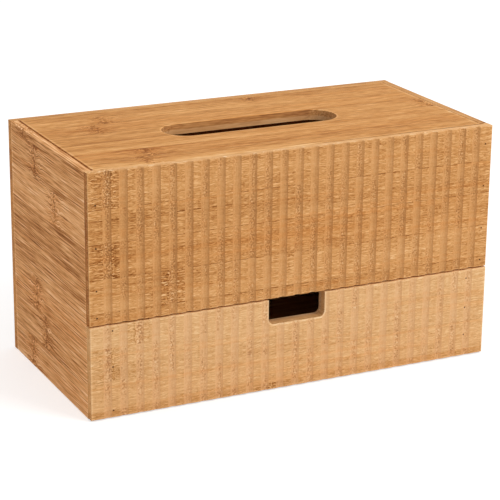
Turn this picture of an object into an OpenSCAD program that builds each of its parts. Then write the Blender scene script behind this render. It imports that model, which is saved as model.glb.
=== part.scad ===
// Tissue box with a drawer: a rectangular bamboo box whose loose lid has a tissue slot, over a
// drawer that is pulled by a finger notch. The upper front and the drawer front are fluted.
// Millimetres, +Z up. The origin is at the middle of the underside, and the front faces -Y.

/* [Box] */
// Overall width, left to right
box_w = 260; // [200:1:320]
// Overall depth, from the drawer front to the back panel
box_d = 130; // [110:1:180]
// Overall height
box_h = 146; // [125:1:200]
// Thickness of the two side panels
side_t = 9; // [8:0.5:12]
// Thickness of the upper front and of the drawer front
front_t = 5; // [4.5:0.5:8]
// Thickness of the back panel
back_t = 5; // [4:0.5:8]
// Thickness of the shelf that carries the tissues
shelf_t = 5; // [4:0.5:8]
// Thickness of the base panel
base_t = 3; // [3:0.5:6]
// Width of the rebates in the side panels that hold the lid and the base
rebate_w = 4.5; // [3:0.5:5.5]
// Depth of the dadoes in the side panels that hold the shelf
dado_depth = 3; // [2:0.5:3]
// Size of the eased outer edges of every panel
edge_ease = 0.3; // [0.2:0.1:1]

/* [Lid] */
// Thickness of the lid
lid_t = 6.5; // [5:0.5:9]
// Gap between the lid and each side panel
lid_side_gap = 0.7; // [0.3:0.1:1]
// Gap between the lid and the front and back panels
lid_end_gap = 0.5; // [0.3:0.1:1]
// Length of the tissue slot, over its round ends
slot_len = 113.5; // [60:0.5:160]
// Width of the tissue slot
slot_w = 28.5; // [20:0.5:45]
// Radius of the rounded rim of the tissue slot
slot_rim_r = 0.4; // [0.3:0.1:1.5]

/* [Drawer] */
// Height of the drawer front
drawer_front_h = 55.7; // [45:0.1:70]
// Height of the drawer front's lower edge above the table
foot_gap = 0.8; // [0.5:0.1:2]
// Gap between the drawer front and the upper front
seam_gap = 0.8; // [0.5:0.1:1.5]
// Gap between the closed drawer front and the front edges of the box
front_gap = 0.3; // [0.3:0.1:1]
// Gap between each drawer side and the side panel beside it
run_side_gap = 0.6; // [0.3:0.1:1.5]
// Gap between the drawer sides and the base panel that they slide on
run_under_gap = 0.3; // [0.3:0.1:1]
// Gap between the closed drawer and the back panel
run_rear_gap = 0.3; // [0.3:0.1:2]
// Thickness of the inner front that backs the drawer front
inner_front_t = 3; // [2:0.5:5]
// Thickness of the drawer sides
drawer_side_t = 8; // [7:0.5:10]
// Thickness of the drawer back
drawer_back_t = 8; // [5:0.5:10]
// Thickness of the drawer bottom
drawer_bottom_t = 3; // [2.5:0.5:5]
// Height of the drawer bottom above the lower edges of the drawer sides
drawer_bottom_rise = 3; // [3:0.5:6]
// Depth of the grooves in the drawer sides that hold the drawer bottom
side_groove_depth = 3; // [2:0.5:3]
// Depth of the groove in the drawer front that holds the drawer bottom
front_groove_depth = 2; // [1:0.5:2]

/* [Finger notch] */
// Width of the finger notch in the top edge of the drawer front
notch_w = 37; // [28:1:60]
// Depth of the finger notch
notch_depth = 15; // [12:1:25]
// Radius of the two lower corners of the finger notch
notch_corner_r = 3.5; // [2:0.5:8]
// Radius of the rounded rim of the finger notch
notch_rim_r = 0.5; // [0.3:0.1:1]

/* [Flutes] */
// Distance from one flute to the next
flute_pitch = 9.9; // [8:0.1:14]
// Width of every flute at the face
flute_w = 5.3; // [3:0.1:6.5]
// Least width of the plain margin beside the first and last flutes
flute_margin = 7.5; // [7:0.5:14]
// Depth of the flutes in the upper front
upper_flute_depth = 1.2; // [0.3:0.1:1.5]
// Depth of the flutes in the drawer front
drawer_flute_depth = 0.6; // [0.3:0.1:1.5]
// Sideways shift of the drawer front's flutes from those above
drawer_flute_shift = -0.9; // [-1.5:0.1:1.5]

/* [Brads] */
// Diameter of the brads that fasten the panels
brad_d = 1; // [0.8:0.1:1.4]
// Clearance round a brad, on the diameter
brad_clearance = 0.1; // [0.1:0.05:0.3]
// Length of the brads in the front and back panels
brad_len = 18; // [12:1:25]
// Length of the brads in the base panel and the drawer back
short_brad_len = 14; // [10:1:16]
// Depth of each brad's head below the face
brad_sink = 0.5; // [0.3:0.1:1]

/* [Hidden] */
$fn = 48;

// How far a cutter runs past the face that it opens
over = 1;

// Size of the finer ease along the lid's seams
seam_ease = edge_ease / 2;

// Planes of the box, seen from the origin
half_w = box_w / 2;
front_y = -box_d / 2;
back_y = box_d / 2;
frame_front_y = front_y + front_t + front_gap;
frame_back_y = back_y - back_t;
frame_d = frame_back_y - frame_front_y;
upper_front_y = frame_front_y - front_t;
inner_half_w = half_w - side_t;

// Levels of the box, from the table up
drawer_top_z = foot_gap + drawer_front_h;
upper_front_z = drawer_top_z + seam_gap;
upper_front_h = box_h - upper_front_z;
lid_z = box_h - lid_t;

// Lid
lid_half_w = half_w - side_t + rebate_w - lid_side_gap;
lid_front_y = frame_front_y + lid_end_gap;
lid_d = frame_back_y - lid_end_gap - lid_front_y;
slot_y = lid_front_y + lid_d / 2;
slot_end_r = slot_w / 2;
slot_end_x = slot_len / 2 - slot_end_r;

// Drawer
drawer_inner_y = front_y + front_t;
drawer_rear_y = frame_back_y - run_rear_gap;
drawer_len = drawer_rear_y - drawer_inner_y;
drawer_half_w = inner_half_w - run_side_gap;
drawer_inner_half_w = drawer_half_w - drawer_side_t;
drawer_wall_z = base_t + run_under_gap;
drawer_wall_h = drawer_top_z - drawer_wall_z;
drawer_bottom_z = drawer_wall_z + drawer_bottom_rise;
drawer_end_z = drawer_bottom_z + drawer_bottom_t;
drawer_end_h = drawer_top_z - drawer_end_z;
notch_z = drawer_top_z - notch_depth;
notch_corner_x = notch_w / 2 - notch_corner_r;
notch_corner_z = notch_z + notch_corner_r;

// Flutes: as many as fit between the margins, centred on the panel
flute_count = floor((box_w - 2 * flute_margin - flute_w) / flute_pitch) + 1;
first_flute_x = -(flute_count - 1) * flute_pitch / 2;

// Brads: heights are shares of the panel's own height, set by hand as the real ones are
hole_d = brad_d + brad_clearance;
front_brad_shares = [[0.05, 0.23, 0.51, 0.79], [0.05, 0.28, 0.58, 0.875]];
back_brad_shares = [0.08, 0.36, 0.64, 0.9];
base_brad_shares = [0.12, 0.38, 0.62, 0.88];
drawer_front_brad_shares = [[0.075, 0.55, 0.94], [0.24, 0.56, 0.9]];
drawer_back_brad_shares = [0.3, 0.8];
brad_x = half_w - side_t / 2;
base_brad_x = inner_half_w + rebate_w / 2;
drawer_brad_x = drawer_half_w - drawer_side_t / 2;
drawer_back_brad_y = drawer_rear_y - drawer_back_t / 2;

// Places of the brads, each list for one panel
function front_brad_points() = [
  for (side = [0, 1], share = front_brad_shares[side])
    [(2 * side - 1) * brad_x, upper_front_y + brad_sink, upper_front_z + share * upper_front_h]
];
function back_brad_points() = [
  for (side = [-1, 1], share = back_brad_shares) [side * brad_x, back_y - brad_sink, share * box_h]
];
function base_brad_points() = [
  for (side = [-1, 1], share = base_brad_shares)
    [side * base_brad_x, frame_front_y + share * frame_d, brad_sink]
];
function drawer_front_brad_points() = [
  for (side = [0, 1], share = drawer_front_brad_shares[side])
    [(2 * side - 1) * drawer_brad_x, front_y + brad_sink, foot_gap + share * drawer_front_h]
];
function drawer_back_brad_points(side) = [
  for (share = drawer_back_brad_shares)
    [side * (drawer_half_w - brad_sink), drawer_back_brad_y, drawer_end_z + share * drawer_end_h]
];

// Directions in which a brad is driven, as rotations of the Z axis
into_back = [-90, 0, 0];
into_front = [90, 0, 0];
upward = [0, 0, 0];
function inward(side) = [0, -90 * side, 0];

// Brads at the given head points
module brads(points, direction, length) {
  for (point = points)
    translate(point)
      rotate(direction)
        cylinder(d = brad_d, h = length);
}

// The holes that brads sit in, open at the face that they were driven from
module brad_holes(points, direction, length) {
  for (point = points)
    translate(point)
      rotate(direction)
        translate([0, 0, -over])
          cylinder(d = hole_d, h = length + over);
}

// Outline of a panel's cross-section: the two corners at y = 0 are eased
module eased_outline(width, thickness, ease) {
  polygon([
    [ease, 0], [width - ease, 0], [width, ease],
    [width, thickness], [0, thickness], [0, ease]
  ]);
}

// A panel that faces -Y with its outer edges eased, its lower left front corner at the origin
module face_panel(width, thickness, height) {
  intersection() {
    linear_extrude(height)
      eased_outline(width, thickness, edge_ease);
    translate([width, 0, 0])
      rotate([0, -90, 0])
        linear_extrude(width)
          eased_outline(height, thickness, edge_ease);
  }
}

// One flute as a cutter: a round gutter along Z that is sunk into a face at y = 0. Its radius
// follows from the depth, so that deep and shallow flutes are equally wide.
module flute(depth, height) {
  radius = (pow(flute_w / 2, 2) + pow(depth, 2)) / (2 * depth);
  translate([0, depth - radius, -over])
    cylinder(r = radius, h = height + 2 * over);
}

// A face panel of the box's full width, centred on X, with a row of flutes down its face
module fluted_panel(height, depth, shift) {
  difference() {
    translate([-half_w, 0, 0])
      face_panel(box_w, front_t, height);
    for (i = [0 : flute_count - 1])
      translate([first_flute_x + i * flute_pitch + shift, 0, 0])
        flute(depth, height);
  }
}

// Cross-section of one side panel: its outer face is at x = 0, and its inner face at x = side_t
module side_outline() {
  lip = side_t - rebate_w;
  dado = side_t - dado_depth;
  shelf_top = upper_front_z + shelf_t;
  polygon([
    [edge_ease, 0], [lip, 0], [lip, base_t], [side_t, base_t],
    [side_t, upper_front_z], [dado, upper_front_z], [dado, shelf_top], [side_t, shelf_top],
    [side_t, lid_z], [lip, lid_z], [lip, box_h - seam_ease], [lip - seam_ease, box_h],
    [edge_ease, box_h], [0, box_h - edge_ease], [0, edge_ease]
  ]);
}

// The left side panel, rebated for the lid and the base, with a dado for the shelf. Its eased
// upright edges leave a fine groove at the joints with the front and the back.
module side_panel() {
  translate([-half_w, frame_back_y, 0])
    intersection() {
      rotate([90, 0, 0])
        linear_extrude(frame_d)
          side_outline();
      linear_extrude(box_h)
        rotate(-90)
          eased_outline(frame_d, side_t, edge_ease);
    }
}

module side_left() {
  color("#b98a54")
    difference() {
      side_panel();
      brad_holes(front_brad_points(), into_back, brad_len);
      brad_holes(back_brad_points(), into_front, brad_len);
      brad_holes(base_brad_points(), upward, short_brad_len);
    }
}

module side_right() {
  color("#b98a54")
    difference() {
      mirror([1, 0, 0])
        side_panel();
      brad_holes(front_brad_points(), into_back, brad_len);
      brad_holes(back_brad_points(), into_front, brad_len);
      brad_holes(base_brad_points(), upward, short_brad_len);
    }
}

module upper_front() {
  color("#cc9a5f")
    difference() {
      translate([0, upper_front_y, upper_front_z])
        fluted_panel(upper_front_h, upper_flute_depth, 0);
      brad_holes(front_brad_points(), into_back, brad_len);
    }
}

module back_panel() {
  color("#c6945a")
    difference() {
      translate([half_w, back_y, 0])
        rotate([0, 0, 180])
          face_panel(box_w, back_t, box_h);
      brad_holes(back_brad_points(), into_front, brad_len);
    }
}

module shelf() {
  shelf_half_w = inner_half_w + dado_depth;
  color("#d3a669")
    translate([-shelf_half_w, frame_front_y, upper_front_z])
      cube([2 * shelf_half_w, frame_d, shelf_t]);
}

module base_panel() {
  base_half_w = inner_half_w + rebate_w;
  color("#c99b61")
    difference() {
      translate([-base_half_w, frame_front_y, 0])
        cube([2 * base_half_w, frame_d, base_t]);
      brad_holes(base_brad_points(), upward, short_brad_len);
    }
}

module front_brads() {
  color("#6f6a64")
    brads(front_brad_points(), into_back, brad_len);
}

module back_brads() {
  color("#6f6a64")
    brads(back_brad_points(), into_front, brad_len);
}

module base_brads() {
  color("#6f6a64")
    brads(base_brad_points(), upward, short_brad_len);
}

// The blank of the lid, with its four top edges eased
module lid_blank() {
  lid_w = 2 * lid_half_w;
  translate([-lid_half_w, lid_front_y, box_h])
    intersection() {
      rotate([-90, 0, 0])
        linear_extrude(lid_d)
          eased_outline(lid_w, lid_t, seam_ease);
      translate([lid_w, 0, 0])
        rotate([-90, 0, 90])
          linear_extrude(lid_w)
            eased_outline(lid_d, lid_t, seam_ease);
    }
}

// Section of a rim cutter: the opening is at x < 0 and the face at y = 0, and the corner between
// them is rounded
module rim_section(radius) {
  difference() {
    translate([-over, -radius])
      square([over + radius, radius + over]);
    translate([radius, -radius])
      circle(radius);
  }
}

// The tissue slot: a straight channel with a full round at each end
module slot_outline() {
  translate([-slot_end_x, -slot_end_r])
    square([2 * slot_end_x, slot_w]);
  for (side = [-1, 1])
    translate([side * slot_end_x, 0])
      circle(slot_end_r);
}

module lid_panel() {
  color("#cf9c60")
    difference() {
      lid_blank();
      translate([0, slot_y, lid_z - over])
        linear_extrude(lid_t + 2 * over)
          slot_outline();
      translate([0, slot_y, box_h])
        slot_rim();
    }
}

// Cutter that rounds the top rim of the tissue slot, with the lid's face at z = 0
module slot_rim() {
  for (turn = [0, 180])
    rotate([0, 0, turn]) {
      translate([slot_end_x, 0, 0])
        rotate_extrude()
          translate([slot_end_r, 0])
            rim_section(slot_rim_r);
      translate([-slot_end_x, slot_end_r, 0])
        rotate([90, 0, 90])
          linear_extrude(2 * slot_end_x)
            rim_section(slot_rim_r);
    }
}

// The finger notch as seen from the front, with its lower corners rounded
module notch_outline() {
  translate([-notch_w / 2, notch_corner_z])
    square([notch_w, notch_depth]);
  translate([-notch_corner_x, notch_z])
    square([2 * notch_corner_x, notch_depth]);
  for (side = [-1, 1])
    translate([side * notch_corner_x, notch_corner_z])
      circle(notch_corner_r);
}

// The finger notch as a cutter through the drawer front and the inner front
module notch_cut() {
  reach = front_t + inner_front_t + 2 * over;
  translate([0, front_y - over + reach, 0])
    rotate([90, 0, 0])
      linear_extrude(reach)
        notch_outline();
}

module drawer_front() {
  color("#dcb37a")
    difference() {
      translate([0, front_y, foot_gap])
        fluted_panel(drawer_front_h, drawer_flute_depth, drawer_flute_shift);
      notch_cut();
      translate([0, front_y, 0])
        notch_rim();
      translate([-drawer_inner_half_w, drawer_inner_y - front_groove_depth, drawer_bottom_z])
        cube([2 * drawer_inner_half_w, front_groove_depth + over, drawer_bottom_t]);
      brad_holes(drawer_front_brad_points(), into_back, brad_len);
    }
}

// A bar along Z that rounds the left-hand edge of the notch, with the drawer's face at y = 0
module notch_rim_bar(length) {
  linear_extrude(length)
    rotate(180)
      rim_section(notch_rim_r);
}

// Cutter that rounds the front rim of the finger notch
module notch_rim() {
  for (side = [-1, 1])
    translate([side * notch_corner_x, 0, notch_corner_z])
      rotate([90, 0, 0])
        rotate_extrude()
          translate([notch_corner_r, 0])
            rim_section(notch_rim_r);
  translate([notch_corner_x, 0, notch_z])
    rotate([0, -90, 0])
      notch_rim_bar(2 * notch_corner_x);
  for (turn = [0, 1])
    mirror([turn, 0, 0])
      translate([-notch_w / 2, 0, notch_corner_z])
        notch_rim_bar(notch_depth);
}

// The inner front stands on the drawer bottom between the drawer sides, glued to the drawer front
module drawer_inner_front() {
  color("#d8b07a")
    difference() {
      translate([-drawer_inner_half_w, drawer_inner_y, drawer_end_z])
        cube([2 * drawer_inner_half_w, inner_front_t, drawer_end_h]);
      notch_cut();
    }
}

// Cross-section of one drawer side: its outer face is at x = 0
module drawer_side_outline() {
  groove = drawer_side_t - side_groove_depth;
  groove_z = drawer_bottom_rise;
  top = drawer_wall_h;
  ease = edge_ease;
  polygon([
    [0, 0], [drawer_side_t, 0], [drawer_side_t, groove_z], [groove, groove_z],
    [groove, groove_z + drawer_bottom_t], [drawer_side_t, groove_z + drawer_bottom_t],
    [drawer_side_t, top - ease], [drawer_side_t - ease, top], [ease, top], [0, top - ease]
  ]);
}

module drawer_side() {
  translate([-drawer_half_w, drawer_rear_y, drawer_wall_z])
    rotate([90, 0, 0])
      linear_extrude(drawer_len)
        drawer_side_outline();
}

module drawer_side_left() {
  color("#d8b07a")
    difference() {
      drawer_side();
      brad_holes(drawer_front_brad_points(), into_back, brad_len);
      brad_holes(drawer_back_brad_points(-1), inward(-1), short_brad_len);
    }
}

module drawer_side_right() {
  color("#d8b07a")
    difference() {
      mirror([1, 0, 0])
        drawer_side();
      brad_holes(drawer_front_brad_points(), into_back, brad_len);
      brad_holes(drawer_back_brad_points(1), inward(1), short_brad_len);
    }
}

module drawer_back() {
  color("#d8b07a")
    difference() {
      translate([-drawer_inner_half_w, drawer_rear_y - drawer_back_t, drawer_end_z])
        cube([2 * drawer_inner_half_w, drawer_back_t, drawer_end_h]);
      for (side = [-1, 1])
        brad_holes(drawer_back_brad_points(side), inward(side), short_brad_len);
    }
}

module drawer_bottom() {
  bottom_half_w = drawer_inner_half_w + side_groove_depth;
  tongue_y = drawer_inner_y - front_groove_depth;
  color("#dfbb88")
    union() {
      translate([-bottom_half_w, drawer_inner_y, drawer_bottom_z])
        cube([2 * bottom_half_w, drawer_len, drawer_bottom_t]);
      translate([-drawer_inner_half_w, tongue_y, drawer_bottom_z])
        cube([2 * drawer_inner_half_w, front_groove_depth + over, drawer_bottom_t]);
    }
}

module drawer_front_brads() {
  color("#6f6a64")
    brads(drawer_front_brad_points(), into_back, brad_len);
}

module drawer_back_brads() {
  color("#6f6a64")
    for (side = [-1, 1])
      brads(drawer_back_brad_points(side), inward(side), short_brad_len);
}

side_left();
side_right();
upper_front();
back_panel();
shelf();
base_panel();
front_brads();
back_brads();
base_brads();
lid_panel();
drawer_front();
drawer_inner_front();
drawer_side_left();
drawer_side_right();
drawer_back();
drawer_bottom();
drawer_front_brads();
drawer_back_brads();
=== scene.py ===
import math
import random

import bpy
from mathutils import Matrix, Vector


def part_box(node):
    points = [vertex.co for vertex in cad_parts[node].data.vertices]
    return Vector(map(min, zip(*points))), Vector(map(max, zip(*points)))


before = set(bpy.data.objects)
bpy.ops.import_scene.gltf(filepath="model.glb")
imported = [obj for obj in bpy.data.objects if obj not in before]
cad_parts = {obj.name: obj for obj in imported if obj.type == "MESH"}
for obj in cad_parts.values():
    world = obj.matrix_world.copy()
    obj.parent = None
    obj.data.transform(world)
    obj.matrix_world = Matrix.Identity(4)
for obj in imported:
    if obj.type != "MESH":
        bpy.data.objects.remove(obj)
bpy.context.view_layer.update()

MM = 0.001

# Camera: fitted to the straight edges of the photographed box
CAMERA_PLACE = Vector((-0.4821, -0.9799, 0.4268))
CAMERA_YAW = math.radians(26.23)
CAMERA_PITCH = math.radians(18.31)
CAMERA_ROLL = math.radians(0.63)
CAMERA_LENS = 135.2
SENSOR_WIDTH = 36.0

# Light: a bright even studio, with a soft key lamp in front, to the right and above
AMBIENT = 0.74
KEY_PLACE = Vector((0.95, -1.35, 1.25))
KEY_SIZE = 0.9
KEY_POWER = 17.0
LIGHT_TARGET = Vector((0.0, 0.0, 0.07))

# Floor: white, with part of its white given to the camera alone, so that the shadow stays soft
FLOOR_HALF = 6.0
FLOOR_ALBEDO = 0.72
FLOOR_LIFT = 0.50
FLOOR_ROUGHNESS = 0.9
WHITE = (1.0, 1.0, 1.0, 1.0)

# Laminated strips of each board that shows, from its first edge on: width in millimetres, place of
# the strip's node along the board in millimetres (None for none), and tone, where 0 is the average
SIDE_STRIPS = [
    (4.5, 20, -0.05), (20.5, 40, -0.02), (20, 72, 0.10), (20.5, None, -0.12), (20, None, -0.04),
    (21, 39, 0.02), (20.5, 53, 0.01), (22, 30, 0.10),
]
LID_STRIPS = [
    (11, 150, -0.04), (17, 45, 0.03), (20, 33, 0.0), (20, 247, 0.02), (20, None, 0.04),
    (15.5, 42, -0.02), (20, 36, 0.0),
]
UPPER_STRIPS = [(21.5, 12, 0.0), (20, None, -0.03), (20.5, 12, -0.03), (20, 50, 0.02), (9, None, -0.07)]
DRAWER_STRIPS = [(13.5, 29, 0.03), (20, 12, 0.0), (18, None, 0.0), (8, 113, -0.11)]

# One long dark fibre in the face of the upper front: its place across the board and its right end
LONG_FIBRE = (28.0 * MM, 95 * MM)

# Depths of the flutes, as the CAD cuts them
UPPER_FLUTE_DEPTH = 1.2 * MM
DRAWER_FLUTE_DEPTH = 0.6 * MM

# Length and width of the tissue slot, and width, depth and corner radius of the finger notch, whose
# rims are rubbed paler
SLOT_SIZE = (113.5 * MM, 28.5 * MM)
NOTCH_SIZE = (37.0 * MM, 15.0 * MM)
NOTCH_CORNER = 3.5 * MM

# Lump sizes of each kind of grain in millimetres: along, across and through a board
GRAIN_SIZES = {
    "sway": (60, 25, 25),
    "swirl": (6, 4, 9),
    "bands": (260, 9, 14),
    "streaks": (70, 2.2, 3),
    "strength": (60, 11, 14),
    "fibres": (18, 0.75, 0.9),
    "flecks": (6, 0.5, 0.9),
    "ripple": (3.0, 5, 9),
    "lenses": (4.5, 0.68, 2),
    "clusters": (26, 5, 9),
    "grains": (0.9, 1.0, 1.2),
    "patches": (9, 45, 60),
    "furrows": (0.6, 16, 9),
    "crook": (30, 3.0, 9),
    "knots": (3.4, 1.8, 3),
    "warmth": (140, 3.5, 5),
    "seam_wander": (40, 30, 1000),
    "seam_fade": (35, 9, 1000),
    "fibre_wander": (70, 1000, 1000),
    "stain": (0.5, 0.5, 0.5),
}


def srgb(red, green, blue):
    """A colour given as it looks, 0 to 255 in each channel, as a linear colour."""
    def linear(level):
        share = level / 255
        return share / 12.92 if share <= 0.04045 else ((share + 0.055) / 1.055) ** 2.4
    return (linear(red), linear(green), linear(blue), 1.0)


def tinted(palette, red, green, blue):
    """A palette with its linear channels scaled."""
    return [(colour[0] * red, colour[1] * green, colour[2] * blue, 1.0) for colour in palette]


# Bamboo colours from the darkest fibre to the palest: the tone picks a place between them
AMBER = [
    srgb(118, 66, 26), srgb(166, 105, 50), srgb(208, 148, 84), srgb(232, 177, 114),
    srgb(246, 208, 154),
]
STRAW = [
    srgb(148, 95, 48), srgb(191, 138, 81), srgb(224, 175, 121), srgb(241, 199, 147),
    srgb(251, 223, 179),
]
UNDER_PLY = [
    srgb(150, 105, 62), srgb(206, 153, 97), srgb(224, 173, 116), srgb(236, 190, 136),
    srgb(246, 207, 156),
]

# The left side's palette is a paler, bluer copy of the amber: painted light that lifts the side turned
# away from the lamp
SIDE_AMBER_PAINTED_LIGHT = tinted(AMBER, 1.16, 1.17, 1.40)
LID_AMBER = tinted(AMBER, 1.02, 1.0, 0.98)
FRONT_AMBER = tinted(AMBER, 1.03, 1.08, 1.25)
GREY_STRAW = tinted(STRAW, 0.92, 1.0, 1.2)

# Tint of the fibres that a flute cuts across and of the slot's wall, and the redder cast of some
# streaks
CUT_AMBER = srgb(200, 149, 97)
CUT_STRAW = srgb(217, 168, 124)
SLOT_WALL = srgb(190, 146, 112)
RED_CAST = (1.0, 0.88, 0.74, 1.0)

# Stained and clean steel of the brads
BRAD_COLOURS = [srgb(70, 42, 20), srgb(128, 92, 58)]


class Graph:
    """Builds a shader tree. Each input is either a socket, which is linked, or a plain value."""

    def __init__(self, tree):
        self.tree = tree

    def put(self, socket, value):
        """Links a socket, or sets it to a plain value."""
        if isinstance(value, bpy.types.NodeSocket):
            self.tree.links.new(value, socket)
        else:
            socket.default_value = value

    def add(self, kind, inputs=(), **settings):
        """A new node of a kind, with its inputs by name and its settings."""
        node = self.tree.nodes.new("ShaderNode" + kind)
        for name, value in settings.items():
            setattr(node, name, value)
        for name, value in dict(inputs).items():
            self.put(node.inputs[name], value)
        return node

    def math(self, operation, *values, clamp=False):
        """The result of one operation on one, two or three values."""
        node = self.add("Math", operation=operation, use_clamp=clamp)
        for socket, value in zip(node.inputs, values):
            self.put(socket, value)
        return node.outputs[0]

    def total(self, first, *rest):
        """The sum of the values."""
        for value in rest:
            first = self.math("ADD", first, value)
        return first

    def times(self, first, *rest):
        """The product of the values."""
        for value in rest:
            first = self.math("MULTIPLY", first, value)
        return first

    def ramp_up(self, value, low, high):
        """0 below low, 1 above high, and smooth between; low may be the larger."""
        limits = {"Value": value, "From Min": low, "From Max": high}
        return self.add("MapRange", limits, interpolation_type="SMOOTHSTEP").outputs[0]

    def bell(self, distance, reach):
        """1 where distance is 0, falling to about a third at reach."""
        share = self.math("DIVIDE", distance, reach)
        return self.math("EXPONENT", self.math("MULTIPLY", self.math("MULTIPLY", share, share), -1.0))

    def edge_gap(self, place, size):
        """Distance to the nearer end of a span that starts at 0."""
        return self.math("MINIMUM", place, self.math("SUBTRACT", size, place))

    def join(self, x, y, z):
        """A vector from its three parts."""
        return self.add("CombineXYZ", {"X": x, "Y": y, "Z": z}).outputs[0]

    def noise(self, place, sizes, detail, roughness=0.5, distortion=0.0):
        """Noise about 0, whose lumps have the given sizes in metres along the board's directions."""
        scaled = self.add("VectorMath", operation="DIVIDE")
        self.put(scaled.inputs[0], place)
        self.put(scaled.inputs[1], sizes)
        settings = {"Vector": scaled.outputs[0], "Scale": 1.0, "Detail": detail,
                    "Roughness": roughness, "Distortion": distortion}
        return self.math("SUBTRACT", self.add("TexNoise", settings).outputs[0], 0.5)

    def grain(self, kind, place, detail=1.0, **settings):
        """Noise about 0, whose lumps have the sizes of one kind of grain."""
        return self.noise(place, [size * MM for size in GRAIN_SIZES[kind]], detail, **settings)

    def mix(self, factor, first, second, blend_type="MIX"):
        """The first colour, with a share of the second mixed in."""
        node = self.add("Mix", data_type="RGBA", blend_type=blend_type)
        sockets = (node.inputs[0], node.inputs[6], node.inputs[7])
        for socket, value in zip(sockets, (factor, first, second)):
            self.put(socket, value)
        return node.outputs[2]

    def stops(self, value, colours, places=None, interpolation="LINEAR"):
        """A colour ramp with the given colours, evenly spaced unless their places are given."""
        node = self.add("ValToRGB", {"Fac": value})
        ramp = node.color_ramp
        ramp.interpolation = interpolation
        if places is None:
            places = [i / (len(colours) - 1) for i in range(len(colours))]
        while len(ramp.elements) < len(colours):
            ramp.elements.new(1.0)
        for element, place, colour in zip(ramp.elements, places, colours):
            element.position = place
            element.color = colour
        return node.outputs[0]


# How far a node reaches along the board: its grainy core, its squiggles and its swirl
NODE_CORE = 3.2 * MM
NODE_REACH = 5.5 * MM
SWIRL_REACH = 11 * MM

# How far fibres stray: along the board, in a node's swirl and on the lands of a fluted face. Then
# how far a node's dark line strays from a straight one, and half the width of that line
SWAY = 1.6 * MM
SWIRL = 7 * MM
RIPPLE = 1.3 * MM
CROOK = 14 * MM
NODE_LINE = 0.7 * MM

# Metres that one unit of seed shifts the grain along the board
SEED_SHIFT = 3.7

# How soon the cut fibres of a fluted face count as fully cut, and the shares of a node's swirl and
# of its marks that they lose
CUT_GAIN = 2.0
CUT_SWIRL_LOSS = -0.75
CUT_MARK_LOSS = -0.9

# Streaks are weak in some parts and strong in others: the least strength, what the strongest parts
# add to it, and the noise on either side of 0 over which it grows
STREAK_BASE = 0.35
STREAK_GAIN = 1.3
STREAK_SPREAD = 0.16

# Weight of the flecks beside the fibres, what both gain round a node and lose close to it, and
# their strength in a flute and on a land
FLECK_SHARE = 0.8
NODE_FINE_GAIN = 0.5
NODE_FINE_LOSS = -0.7
FLUTE_FINE = 0.35
LAND_FINE = 0.65

# Noise that a thin line covers on either side of 0: between lenses, and in the squiggles of a node
LENS_LINE = 0.045
SQUIGGLE_LINE = 0.035

# Noise over which clusters of dark lines and a node's pale flecks fade in, and on either side of 0
# for the flutes' patches of grains
CLUSTER_RANGE = (-0.10, 0.18)
PALE_FLECK_RANGE = (0.12, 0.24)
PATCH_SPREAD = 0.12

# Strength of the grains in a flute, down its middle and at a node
FLUTE_GRAINS = 0.4
GROOVE_GRAINS = 1.5
NODE_GRAINS = 2.2

# Weight of each mark in the tone, where 1 is the whole palette
LENS_TONE = 0.58
LENS_LINE_TONE = -0.19
CLUSTER_TONE = -0.10
LENS_BALANCE = 0.07
SQUIGGLE_TONE = -0.34
NODE_LINE_TONE = -0.22
PALE_FLECK_TONE = 0.24
NODE_TONE = -0.05
CUT_NODE_TONE = -0.12
SEAM_TONE = -0.20
LAND_SEAM_TONE = -0.25
FURROW_TONE = 0.35
PATCH_TONE = 0.10

# Weight of the grain in the height of the surface
FINE_HEIGHT = 1.2
STREAK_HEIGHT = 0.5
DASH_HEIGHT = 1.5
GRAIN_HEIGHT = 1.2

# Warmth that a node adds, and the noise over which warmth fades in
NODE_WARMTH = 0.12
WARMTH_RANGE = (-0.05, 0.22)


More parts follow.
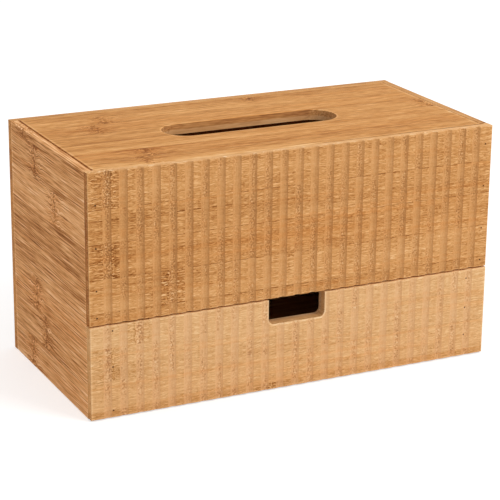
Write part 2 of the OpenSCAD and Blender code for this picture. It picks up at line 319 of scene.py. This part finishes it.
def bamboo_group():
    """Tone, height and warmth of laminated bamboo at a place along, across and through a board."""
    group = bpy.data.node_groups.new("bamboo_board", "ShaderNodeTree")
    group.interface.new_socket("Place", in_out="INPUT", socket_type="NodeSocketVector")
    for name in ("Node Offset", "Tone", "Seed", "Streaks", "Fibres", "Dashes", "Flute", "Marks", "Seam",
                 "Groove", "Bands", "Stretch"):
        group.interface.new_socket(name, in_out="INPUT", socket_type="NodeSocketFloat")
    for name in ("Tone", "Height", "Warmth"):
        group.interface.new_socket(name, in_out="OUTPUT", socket_type="NodeSocketFloat")
    g = Graph(group)
    given = group.nodes.new("NodeGroupInput").outputs
    result = group.nodes.new("NodeGroupOutput")
    place = g.add("SeparateXYZ", {"Vector": given["Place"]}).outputs
    along = g.math("ADD", place["X"], g.times(given["Seed"], SEED_SHIFT))

    # Round a node the fibres leave their straight course, though less so where they are cut
    marked = given["Marks"]
    near = g.times(g.bell(given["Node Offset"], NODE_REACH), marked)
    around = g.times(g.bell(given["Node Offset"], SWIRL_REACH), marked)
    shifted = g.join(along, place["Y"], place["Z"])
    sway = g.times(g.grain("sway", shifted), SWAY)
    cut = g.math("MULTIPLY", given["Dashes"], CUT_GAIN, clamp=True)
    swirl_share = g.total(1.0, g.times(cut, CUT_SWIRL_LOSS))
    swirl = g.times(g.grain("swirl", shifted), around, swirl_share, SWIRL)
    strayed = g.total(place["Y"], sway, swirl)
    flow = g.join(g.math("DIVIDE", along, given["Stretch"]), strayed, place["Z"])

    # Grain: wide tone bands, streaks, fibres and short hair-thin flecks
    bands = g.grain("bands", flow)
    streaks = g.grain("streaks", flow, detail=2.0, roughness=0.6)
    strength = g.ramp_up(g.grain("strength", flow), -STREAK_SPREAD, STREAK_SPREAD)
    streaks = g.times(streaks, g.total(STREAK_BASE, g.times(strength, STREAK_GAIN)))
    fine = g.total(g.grain("fibres", flow), g.times(g.grain("flecks", flow), FLECK_SHARE))
    fine = g.times(fine, g.total(1.0, g.times(around, NODE_FINE_GAIN), g.times(near, NODE_FINE_LOSS)))

    # Cut fibres on the lands of a fluted face: pale lenses between thin dark wavy lines
    ripple = g.times(g.grain("ripple", shifted), RIPPLE)
    wavy = g.join(along, g.total(place["Y"], ripple, swirl), place["Z"])
    lenses = g.grain("lenses", wavy)
    lines = g.bell(lenses, LENS_LINE)
    clusters = g.ramp_up(g.grain("clusters", shifted), *CLUSTER_RANGE)
    line_tone = g.total(LENS_LINE_TONE, g.times(clusters, CLUSTER_TONE))
    dashes = g.total(g.times(lenses, LENS_TONE), g.times(lines, line_tone), LENS_BALANCE)

    # Grains down the middle of the flutes, strong in some and weak in others, and round the nodes
    grains = g.grain("grains", shifted)
    land = g.math("SUBTRACT", 1.0, given["Flute"])
    patchy = g.ramp_up(g.grain("patches", shifted, detail=0.0), -PATCH_SPREAD, PATCH_SPREAD)
    node_core = g.times(g.bell(given["Node Offset"], NODE_CORE), marked, cut)
    grainy = g.total(
        g.times(given["Flute"], FLUTE_GRAINS),
        g.times(given["Groove"], patchy, GROOVE_GRAINS),
        g.times(node_core, NODE_GRAINS),
    )
    furrows = g.times(g.grain("furrows", shifted), given["Flute"])

    # Node: a dark crooked line across the strip, among dark squiggles and pale flecks
    crook = g.times(g.grain("crook", shifted, detail=2.0), CROOK)
    line = g.times(g.bell(g.math("ADD", given["Node Offset"], crook), NODE_LINE), marked)
    knots = g.grain("knots", shifted, distortion=1.0)
    squiggles = g.times(g.bell(knots, SQUIGGLE_LINE), near)
    pale = g.times(g.ramp_up(g.math("ABSOLUTE", knots), *PALE_FLECK_RANGE), near)
    plain_mark = g.total(
        g.times(squiggles, SQUIGGLE_TONE),
        g.times(line, NODE_LINE_TONE),
        g.times(pale, PALE_FLECK_TONE),
        g.times(around, NODE_TONE),
    )
    mark = g.total(
        g.times(plain_mark, g.total(1.0, g.times(cut, CUT_MARK_LOSS))),
        g.times(around, cut, CUT_NODE_TONE),
        g.times(given["Seam"], SEAM_TONE),
        g.times(given["Seam"], land, cut, LAND_SEAM_TONE),
    )

    middle = 0.5
    tone = g.total(
        given["Tone"], middle,
        g.times(bands, given["Bands"]),
        g.times(streaks, given["Streaks"]),
        g.times(fine, given["Fibres"], g.total(FLUTE_FINE, g.times(land, LAND_FINE))),
        g.times(dashes, given["Dashes"], land, g.total(1.0, around)),
        g.times(grains, grainy),
        g.times(furrows, FURROW_TONE),
        g.times(g.math("SUBTRACT", middle, patchy), given["Flute"], PATCH_TONE),
        mark,
    )
    height = g.total(
        g.times(fine, FINE_HEIGHT),
        g.times(streaks, STREAK_HEIGHT),
        g.times(knots, near),
        g.times(dashes, given["Dashes"], land, DASH_HEIGHT),
        g.times(grains, grainy, GRAIN_HEIGHT),
    )
    warmth = g.total(g.grain("warmth", flow, detail=2.0), g.times(around, NODE_WARMTH))
    g.put(result.inputs["Tone"], tone)
    g.put(result.inputs["Height"], height)
    g.put(result.inputs["Warmth"], g.ramp_up(warmth, *WARMTH_RANGE))
    return group


BAMBOO = bamboo_group()


def random_strips(seed, width, length):
    """Strips for a board that the photograph doesn't show: about 20 mm wide, most with one node. A
    place past the board's end leaves a strip without a node."""
    chance = random.Random(seed)
    usual_width = 20
    strips = []
    covered = 0.0
    while covered < width / MM:
        strip = usual_width if strips else chance.uniform(8, usual_width)
        mark = chance.uniform(0.05, 1.3) * length / MM
        strips.append((strip, mark, chance.uniform(-0.09, 0.09)))
        covered += strip
    return strips


def strip_data(g, across, width, strips):
    """Node place in metres, tone and seed of the strip at a place across the board. The three are
    kept in the channels of a colour ramp, which holds no negative tone, so tones are raised by half."""
    far_away = 9.0
    seed_step = 0.37
    raised = 0.5
    places, values = [], []
    start = 0.0
    for number, (strip, mark, tone) in enumerate(strips):
        node_place = far_away if mark is None else mark * MM
        places.append(min(start * MM / width, 1.0))
        values.append((node_place, raised + tone, (seed_step * number) % 1, 1.0))
        start += strip
    share = g.math("DIVIDE", across, width)
    found = g.add("SeparateColor", {"Color": g.stops(share, values, places, "CONSTANT")}).outputs
    return found["Red"], g.math("SUBTRACT", found["Green"], raised), found["Blue"]


# Half the width of a joint between strips, how far it strays, and the noise over which it fades in
SEAM_HALF = 0.22 * MM
SEAM_WANDER = 1.0 * MM
SEAM_RANGE = (-0.16, 0.02)


def seam_lines(g, across, along, strips):
    """1 on the thin joints between strips, which come and go along the board."""
    place = g.join(along, across, 0.0)
    seen = g.math("ADD", across, g.times(g.grain("seam_wander", place), SEAM_WANDER))
    found = 0.0
    start = 0.0
    for strip in strips[:-1]:
        start += strip[0]
        found = g.math("MAXIMUM", found, g.math("COMPARE", seen, start * MM, SEAM_HALF))
    return g.times(found, g.ramp_up(g.grain("seam_fade", place), *SEAM_RANGE))


# Half the width of the long fibre and of its soft edge, how far it strays, its strength, and the
# share of its length where it starts to fade
FIBRE_HALF = 0.20 * MM
FIBRE_EDGE = 0.40 * MM
FIBRE_WANDER = 0.9 * MM
FIBRE_STRENGTH = 0.65
FIBRE_FADE = 0.8


def fibre_line(g, along, across, fibre):
    """1 on a single thin fibre that runs from the left end of the board."""
    level, end = fibre
    wander = g.times(g.grain("fibre_wander", g.join(along, 0.0, 0.0)), FIBRE_WANDER)
    gap = g.math("ABSOLUTE", g.math("SUBTRACT", g.math("ADD", across, wander), level))
    return g.times(g.ramp_up(gap, FIBRE_EDGE, FIBRE_HALF), g.ramp_up(along, end, FIBRE_FADE * end))


def hole_gap(g, along, across, hole):
    """Distance outside the rounded rectangle that an opening has in a board's face, given as its
    middle along and across, half its length and width, and its corner radius."""
    middle, level, half_length, half_width, radius = hole

    def past(place, centre, half):
        """How far a place lies past the straight part of a side."""
        gap = g.math("ABSOLUTE", g.math("SUBTRACT", place, centre))
        return g.math("MAXIMUM", g.math("SUBTRACT", gap, half - radius), 0.0)

    beside = past(along, middle, half_length)
    above = past(across, level, half_width)
    reach = g.math("SQRT", g.total(g.times(beside, beside), g.times(above, above)))
    return g.math("SUBTRACT", reach, radius)


def axis_index(axis):
    """Place in a vector of an axis such as "X" or "-Y"."""
    return "XYZ".index(axis[-1])


def board_size(low, high, axes):
    """Length, width and thickness of a board, from its corners."""
    return [high[axis_index(axis)] - low[axis_index(axis)] for axis in axes]


def new_material(name):
    """A new material with its graph and its shader."""
    material = bpy.data.materials.new(name)
    material.use_nodes = True
    return material, Graph(material.node_tree), material.node_tree.nodes["Principled BSDF"]


# Depth below a fluted face at which the smooth wall of a flute is fully reached, the shares of a
# flute's depth between which its grainy middle begins, and the depths between which the looks of
# the fluted face end, so that the back of the board stays plain
FLUTE_START = 0.2 * MM
GROOVE_START = 0.55
GROOVE_FULL = 0.85
FACE_FULL = 2 * MM
FACE_END = 3 * MM

# How squarely a face looks along the board or across it where it is an end or an edge, and how
# little it looks straight out of the board where it stands upright on it
SQUARE_START = 0.75
SQUARE_FULL = 0.95
STANDING_START = 0.5
STANDING_FULL = 0.3

# How near to the board's outline a standing face is an end or an edge, and not an opening's wall
OUTLINE_FULL = 0.1 * MM
OUTLINE_END = 0.3 * MM

# Share of a worn edge's reach that is fully pale
WORN_CORE = 0.4

# Reach of the painted shade along the lid's joints, a dark band that stands in for the shadow in
# the gaps round the lid. Along the front it shows on the right only: a gap that is added to its
# distance hides it, and goes away between two shares of the lid's length
SEAM_SHADE_FULL = 0.45 * MM
SEAM_SHADE_END = 0.75 * MM
JOINT_START = 0.45
JOINT_FULL = 0.65
JOINT_HIDE = 1.0 * MM

# Reach of the paler upright edge of the side, and of the rubbed rim of an opening
UPRIGHT_FULL = 1.8 * MM
UPRIGHT_END = 2.6 * MM
RUBBED_FULL = 0.6 * MM
RUBBED_END = 1.5 * MM

# Painted shading across the flutes: the wall that faces the lamp, along +X, is paler and the wall that
# faces away is darker
PAINTED_FLUTE_SHADING_TONE = 0.045

# Depth of the lid's upper ply, whose edge shows in the slot, and the blur of the joint below it
LID_PLY = 3.6 * MM
PLY_BLUR = 0.2 * MM

# Share of an opening's own tint on its wall
WALL_TINT_SHARE = 0.25

# Redness: the weights of the grain, the strip and the cut end, the strip seed that is neutral, and
# what a dark strip of a fluted face adds between two tones
WARMTH_REDNESS = 0.6
STRIP_REDNESS = 0.5
END_REDNESS = 0.55
NEUTRAL_SEED = 0.45
DARK_STRIP_REDNESS = 0.6
DARK_STRIP_START = -0.085
DARK_STRIP_FULL = -0.105

# The surface: its roughness, how much smoother high grain is, its gloss, and the depth and the
# strength of its relief
ROUGHNESS = 0.55
GRAIN_GLOSS = 0.12
SPECULAR = 0.03
RELIEF_DEPTH = 0.08 * MM
RELIEF_STRENGTH = 0.5

# Look of a plain board, which each board changes where it differs. streaks, fibres, dashes, bands
# and marks are the strengths of the grain, of the cut fibres of a fluted face and of the nodes.
# stretch lengthens the grain, seed shifts it, and seam_share is the strength of the joints. The
# tones are those of the board's ends, edges, opening walls and worn edges, of the painted shade
# along the lid's joints, of the side's upright edge and of an opening's rubbed rim. cut_tint and
# cut_share colour the flutes of a fluted face, wall_tint the walls of an opening, under_ply is the
# palette below the lid's upper ply, hole an opening with a rubbed rim, and fibre a long dark fibre.
PLAIN_LOOK = {
    "streaks": 0.9, "fibres": 0.9, "dashes": 0.0, "bands": 0.5, "marks": 1.0,
    "stretch": 1.0, "seed": 0.0, "seam_share": 1.0,
    "end_tone": -0.30, "edge_tone": 0.10, "wall_tone": 0.0,
    "worn_tone": 0.10, "worn_reach": 1.4 * MM,
    "rim_tone": 0.0, "upright_tone": 0.0, "hole_tone": 0.0,
    "flute_depth": 0.0, "cut_tint": None, "cut_share": 0.45,
    "wall_tint": None, "under_ply": None, "hole": None, "fibre": None,
}


class Board:
    """A board in its own directions: places along, across and through it, masks of its faces, and
    the parts of its material. axes names its long, wide and thick directions, with a minus sign
    where places are counted from the far end."""

    def __init__(self, g, node, axes, look):
        self.g = g
        self.look = look
        low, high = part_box(node)
        self.size = board_size(low, high, axes)
        coordinates = g.add("TexCoord").outputs
        point = g.add("SeparateXYZ", {"Vector": coordinates["Object"]}).outputs
        normal = g.add("SeparateXYZ", {"Vector": coordinates["Normal"]}).outputs
        self.normal = [normal[axis_index(axis)] for axis in axes]

        def place(axis):
            """Place along an axis of the board, from the end that it is counted from."""
            index = axis_index(axis)
            if axis[0] == "-":
                return g.math("SUBTRACT", high[index], point[index])
            return g.math("SUBTRACT", point[index], low[index])

        self.along, self.across, self.through = (place(axis) for axis in axes)
        self.find_faces()
        self.find_flutes()

    def find_faces(self):
        """Masks of the flat faces, the outer ends and edges, and the walls of openings."""
        g = self.g
        self.outline_gap = g.math("MINIMUM", g.edge_gap(self.across, self.size[1]),
                                  g.edge_gap(self.along, self.size[0]))
        outline = g.ramp_up(self.outline_gap, OUTLINE_END, OUTLINE_FULL)
        end, edge = (
            g.ramp_up(g.math("ABSOLUTE", part), SQUARE_START, SQUARE_FULL) for part in self.normal[:2]
        )
        self.end_face = g.times(end, outline)
        self.edge_face = g.times(edge, outline)
        standing = g.ramp_up(g.math("ABSOLUTE", self.normal[2]), STANDING_START, STANDING_FULL)
        self.flat = g.math("SUBTRACT", 1.0, standing)
        self.wall = g.times(standing, g.math("SUBTRACT", 1.0, outline))

    def find_flutes(self):
        """Masks of a fluted face, of its flutes and of the deep middle of each flute."""
        g = self.g
        self.cut_face = self.flute = self.groove = 0.0
        if self.look["cut_tint"] is None:
            return
        depth = self.look["flute_depth"]
        self.cut_face = g.ramp_up(self.through, FACE_END, FACE_FULL)
        self.flute = g.times(g.ramp_up(self.through, 0.0, FLUTE_START), self.cut_face, self.flat)
        deep = g.ramp_up(self.through, GROOVE_START * depth, GROOVE_FULL * depth)
        self.groove = g.times(deep, self.flute)

    def seams(self, strips):
        """The joints between strips, and the long fibre where the board has one."""
        g = self.g
        seams = g.times(seam_lines(g, self.across, self.along, strips), self.flat,
                        self.look["seam_share"])
        if self.look["fibre"] is None:
            return seams
        land = g.math("SUBTRACT", 1.0, self.flute)
        line = fibre_line(g, self.along, self.across, self.look["fibre"])
        return g.math("MAXIMUM", seams, g.times(line, self.flat, land, FIBRE_STRENGTH))

    def bamboo(self, strips, mark, tone, seed):
        """Outputs of the bamboo group, fed with this board's places, faces and look."""
        g, look = self.g, self.look
        dashes = look["dashes"]
        if look["cut_tint"] is not None:
            dashes = g.times(self.cut_face, dashes)
        marks = g.times(g.math("SUBTRACT", 1.0, self.end_face), look["marks"])
        settings = {
            "Place": g.join(self.along, self.across, self.through),
            "Node Offset": g.math("SUBTRACT", self.along, mark),
            "Tone": tone,
            "Seed": g.math("ADD", seed, look["seed"]),
            "Streaks": look["streaks"],
            "Fibres": look["fibres"],
            "Dashes": dashes,
            "Flute": self.flute,
            "Marks": marks,
            "Seam": self.seams(strips),
            "Groove": self.groove,
            "Bands": look["bands"],
            "Stretch": look["stretch"],
        }
        return g.add("Group", settings, node_tree=BAMBOO).outputs

    def wear(self):
        """Tones on top of the grain: paler worn edges, painted shade along the lid's joints, a paler
        upright edge, the tones of the faces, and painted shading across each flute, paler on the wall
        that faces the lamp and darker on the other."""
        g, look = self.g, self.look
        length, width = self.size[:2]
        reach = look["worn_reach"]
        worn = g.times(g.ramp_up(self.outline_gap, reach, reach * WORN_CORE), self.flat,
                       look["worn_tone"])
        if look["hole"] is not None:
            gap = hole_gap(g, self.along, self.across, look["hole"])
            rubbed = g.times(g.ramp_up(gap, RUBBED_END, RUBBED_FULL), self.flat, look["hole_tone"])
            worn = g.math("ADD", worn, rubbed)
        # Painted shade: a dark band along the lid's left and front joints, standing in for the shadow in
        # the gaps round the lid
        hidden = g.times(g.ramp_up(self.along, JOINT_FULL * length, JOINT_START * length), JOINT_HIDE)
        front_joint = g.total(g.math("SUBTRACT", width, self.across), hidden)
        near_joint = g.math("MINIMUM", self.along, front_joint)
        rim = g.times(g.ramp_up(near_joint, SEAM_SHADE_END, SEAM_SHADE_FULL), self.flat, look["rim_tone"])
        upright = g.times(g.ramp_up(self.along, UPRIGHT_END, UPRIGHT_FULL), self.flat,
                          look["upright_tone"])
        faces = g.total(
            g.times(self.end_face, look["end_tone"]),
            g.times(self.edge_face, look["edge_tone"]),
            g.times(self.wall, look["wall_tone"]),
        )
        # Painted shading on each flute, from its normal along the board: paler on the wall toward the
        # lamp, darker on the wall away from it
        painted_flute_shading = 0.0
        if look["cut_tint"] is not None:
            painted_flute_shading = g.times(self.normal[0], self.flute, PAINTED_FLUTE_SHADING_TONE)
        return worn, rim, upright, faces, painted_flute_shading

    def colour(self, shade, palette):
        """Colour of a shade, with the tints of flutes, of the under ply and of walls."""
        g, look = self.g, self.look
        colour = g.stops(shade, palette)
        if look["cut_tint"] is not None:
            colour = g.mix(g.times(self.flute, look["cut_share"]), colour, look["cut_tint"])
        if look["under_ply"] is not None:
            below = g.ramp_up(self.through, LID_PLY, LID_PLY + PLY_BLUR)
            colour = g.mix(below, colour, g.stops(shade, look["under_ply"]))
        if look["wall_tint"] is not None:
            colour = g.mix(g.times(self.wall, WALL_TINT_SHARE), colour, look["wall_tint"])
        return colour

    def redness(self, warmth, tone, seed):
        """Share of the red cast: some streaks, strips, cut ends and dark strips have more."""
        g = self.g
        of_strip = g.times(g.math("SUBTRACT", seed, NEUTRAL_SEED), STRIP_REDNESS)
        redness = g.total(g.times(warmth, WARMTH_REDNESS), of_strip, g.times(self.end_face, END_REDNESS))
        if self.look["cut_tint"] is None:
            return redness
        dark_strip = g.ramp_up(tone, DARK_STRIP_START, DARK_STRIP_FULL)
        return g.math("ADD", redness, g.times(dark_strip, DARK_STRIP_REDNESS))


def board_material(name, node, axes, strips, palette, **changes):
    """Bamboo for one board, with its changes to the plain look."""
    material, g, shader = new_material(name)
    board = Board(g, node, axes, {**PLAIN_LOOK, **changes})
    mark, tone, seed = strip_data(g, board.across, board.size[1], strips)
    bamboo = board.bamboo(strips, mark, tone, seed)
    shade = g.total(bamboo["Tone"], *board.wear())
    colour = board.colour(shade, palette)
    redness = board.redness(bamboo["Warmth"], tone, seed)
    g.put(shader.inputs["Base Color"], g.mix(redness, colour, RED_CAST, "MULTIPLY"))
    g.put(shader.inputs["Roughness"],
          g.math("SUBTRACT", ROUGHNESS, g.times(bamboo["Height"], GRAIN_GLOSS)))
    shader.inputs["Specular IOR Level"].default_value = SPECULAR
    relief = {"Height": bamboo["Height"], "Distance": RELIEF_DEPTH, "Strength": RELIEF_STRENGTH}
    g.put(shader.inputs["Normal"], g.add("Bump", relief).outputs[0])
    return material


# Brads: how metallic and how rough their stained steel is, and its relief
BRAD_METALLIC = 0.5
BRAD_ROUGHNESS = 0.45
BRAD_RELIEF_DEPTH = 0.05 * MM
BRAD_RELIEF_STRENGTH = 0.4


def brad_material():
    """Steel heads below the face, dulled and stained brown by the bamboo round them."""
    material, g, shader = new_material("brad_steel")
    stain = g.grain("stain", g.add("TexCoord").outputs["Object"], detail=2.0)
    g.put(shader.inputs["Base Color"], g.stops(g.math("ADD", stain, 0.5), BRAD_COLOURS))
    shader.inputs["Metallic"].default_value = BRAD_METALLIC
    g.put(shader.inputs["Roughness"], g.math("ADD", stain, BRAD_ROUGHNESS))
    relief = {"Height": stain, "Distance": BRAD_RELIEF_DEPTH, "Strength": BRAD_RELIEF_STRENGTH}
    g.put(shader.inputs["Normal"], g.add("Bump", relief).outputs[0])
    return material


def dress(node, material):
    """Gives a solid its material, in its own slots."""
    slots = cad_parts[node].data.materials
    for index in range(len(slots)):
        slots[index] = material
    if not slots:
        slots.append(material)


# Long, wide and thick directions of the boards: fronts and back, sides, and lying boards
FRONT_AXES = ("X", "-Z", "Y")
SIDE_AXES = ("-Y", "-Z", "X")
FLAT_AXES = ("X", "-Y", "-Z")


def dress_side():
    """The left side panel, with long fibres, a paler upright edge at the front, and a paler copy of the
    amber that paints light onto this shaded side.
    """
    # The side's palette is a paler copy of the amber: painted light on this shaded side
    dress("side_left", board_material(
        "bamboo_side_left", "side_left", SIDE_AXES, SIDE_STRIPS, SIDE_AMBER_PAINTED_LIGHT,
        streaks=0.36, fibres=1.2, bands=0.36, stretch=2.4,
        edge_tone=0.14, end_tone=-0.12, upright_tone=0.10))


def dress_lid():
    """The two-ply lid, with painted shade along its joints and a rubbed rim round the slot."""
    low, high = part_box("lid_panel")
    middle = (high - low) / 2
    slot = (middle.x, middle.y, SLOT_SIZE[0] / 2, SLOT_SIZE[1] / 2, SLOT_SIZE[1] / 2)
    # The lid's dark rim along its joints is painted shade, standing in for the shadow in the gaps
    dress("lid_panel", board_material(
        "bamboo_lid", "lid_panel", FLAT_AXES, LID_STRIPS, LID_AMBER,
        streaks=0.40, fibres=0.75, bands=0.42, under_ply=UNDER_PLY,
        edge_tone=0.1, end_tone=0.0, rim_tone=-0.55, wall_tone=-0.08, wall_tint=SLOT_WALL,
        worn_tone=0.2, worn_reach=2.4 * MM, hole=slot, hole_tone=0.15))


def dress_fronts():
    """The two fluted fronts: amber above and straw below, with a rubbed rim round the notch."""
    dress("upper_front", board_material(
        "bamboo_fluted", "upper_front", FRONT_AXES, UPPER_STRIPS, FRONT_AMBER,
        streaks=0.25, fibres=0.35, dashes=1.0, bands=0.28, seam_share=0.6, fibre=LONG_FIBRE,
        cut_tint=CUT_AMBER, flute_depth=UPPER_FLUTE_DEPTH,
        edge_tone=0.21, end_tone=-0.21, worn_tone=0.16, worn_reach=0.8 * MM))
    low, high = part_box("drawer_front")
    notch = ((high.x - low.x) / 2, 0.0, NOTCH_SIZE[0] / 2, NOTCH_SIZE[1], NOTCH_CORNER)
    dress("drawer_front", board_material(
        "bamboo_drawer_front", "drawer_front", FRONT_AXES, DRAWER_STRIPS, STRAW,
        streaks=0.2, fibres=0.3, dashes=0.85, bands=0.2, marks=0.7, seam_share=0.25,
        cut_tint=CUT_STRAW, cut_share=0.4, flute_depth=DRAWER_FLUTE_DEPTH,
        edge_tone=-0.06, end_tone=-0.08, wall_tone=-0.12, worn_tone=0.14, hole=notch, hole_tone=0.3))


def dress_other_boards():
    """The boards that the photograph shows little or nothing of."""
    others = [
        ("side_right", SIDE_AXES, FRONT_AMBER, {"end_tone": -0.12, "edge_tone": -0.06}),
        ("back_panel", FRONT_AXES, FRONT_AMBER, {"end_tone": -0.05, "edge_tone": 0.02, "bands": 0.36}),
        ("shelf", FLAT_AXES, STRAW, {}),
        ("base_panel", FLAT_AXES, STRAW, {}),
        ("drawer_inner_front", FRONT_AXES, GREY_STRAW, {}),
        ("drawer_side_left", SIDE_AXES, STRAW, {}),
        ("drawer_side_right", SIDE_AXES, STRAW, {}),
        ("drawer_back", FRONT_AXES, STRAW, {}),
        ("drawer_bottom", FLAT_AXES, STRAW, {}),
    ]
    first_seed = 5
    grain_step = 0.13
    for number, (node, axes, palette, changes) in enumerate(others):
        low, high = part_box(node)
        length, width, _ = board_size(low, high, axes)
        strips = random_strips(first_seed + number, width, length)
        dress(node, board_material("bamboo_" + node, node, axes, strips, palette, streaks=0.5,
                                   fibres=0.5, stretch=1.8, seed=grain_step * (number + 1),
                                   **changes))


def dress_brads():
    """Every group of brads, in the same steel."""
    steel = brad_material()
    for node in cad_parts:
        if node.endswith("_brads"):
            dress(node, steel)


def seen_rays(g):
    """1 for the rays that see the background: from the camera, from gloss and through glass."""
    rays = g.add("LightPath").outputs
    seen = g.math("MAXIMUM", rays["Is Camera Ray"], rays["Is Glossy Ray"])
    return g.math("MAXIMUM", seen, rays["Is Transmission Ray"])


def make_world():
    """Even white light, behind which the camera sees plain white."""
    world = bpy.data.worlds.new("studio")
    bpy.context.scene.world = world
    world.use_nodes = True
    g = Graph(world.node_tree)
    background = world.node_tree.nodes["Background"]
    strength = g.total(g.times(seen_rays(g), 1.0 - AMBIENT), AMBIENT)
    g.put(background.inputs["Strength"], strength)
    background.inputs["Color"].default_value = WHITE


def make_floor():
    """A plain white floor that keeps a soft shadow."""
    mesh = bpy.data.meshes.new("floor")
    corners = [(x * FLOOR_HALF, y * FLOOR_HALF, 0.0) for x, y in ((-1, -1), (1, -1), (1, 1), (-1, 1))]
    mesh.from_pydata(corners, [], [(0, 1, 2, 3)])
    floor = bpy.data.objects.new("floor", mesh)
    bpy.context.scene.collection.objects.link(floor)
    material, g, shader = new_material("floor_white")
    shader.inputs["Base Color"].default_value = (FLOOR_ALBEDO, FLOOR_ALBEDO, FLOOR_ALBEDO, 1.0)
    shader.inputs["Roughness"].default_value = FLOOR_ROUGHNESS
    shader.inputs["Specular IOR Level"].default_value = 0.0
    shader.inputs["Emission Color"].default_value = WHITE
    g.put(shader.inputs["Emission Strength"], g.times(seen_rays(g), FLOOR_LIFT))
    mesh.materials.append(material)


def aim(thing, target):
    """Turns a lamp to face a point."""
    thing.rotation_euler = (target - thing.location).to_track_quat("-Z", "Y").to_euler()


def make_key_lamp():
    """The soft key lamp."""
    lamp = bpy.data.lights.new("key", "AREA")
    lamp.size = KEY_SIZE
    lamp.energy = KEY_POWER
    key = bpy.data.objects.new("key", lamp)
    key.location = KEY_PLACE
    bpy.context.scene.collection.objects.link(key)
    aim(key, LIGHT_TARGET)


def make_camera():
    """The photograph's camera, from its heading, downward pitch and roll."""
    lens = bpy.data.cameras.new("camera")
    lens.lens = CAMERA_LENS
    lens.sensor_width = SENSOR_WIDTH
    camera = bpy.data.objects.new("camera", lens)
    bpy.context.scene.collection.objects.link(camera)
    level = math.cos(CAMERA_PITCH)
    ahead = Vector((math.sin(CAMERA_YAW) * level, math.cos(CAMERA_YAW) * level, -math.sin(CAMERA_PITCH)))
    right = Vector((math.cos(CAMERA_YAW), -math.sin(CAMERA_YAW), 0.0))
    above = right.cross(ahead)
    side = right * math.cos(CAMERA_ROLL) + above * math.sin(CAMERA_ROLL)
    top = above * math.cos(CAMERA_ROLL) - right * math.sin(CAMERA_ROLL)
    turned = Matrix((side, top, -ahead)).transposed().to_4x4()
    camera.matrix_world = Matrix.Translation(CAMERA_PLACE) @ turned
    bpy.context.scene.camera = camera


dress_side()
dress_lid()
dress_fronts()
dress_other_boards()
dress_brads()
make_world()
make_floor()
make_key_lamp()
make_camera()
bpy.context.scene.view_settings.view_transform = "Standard"
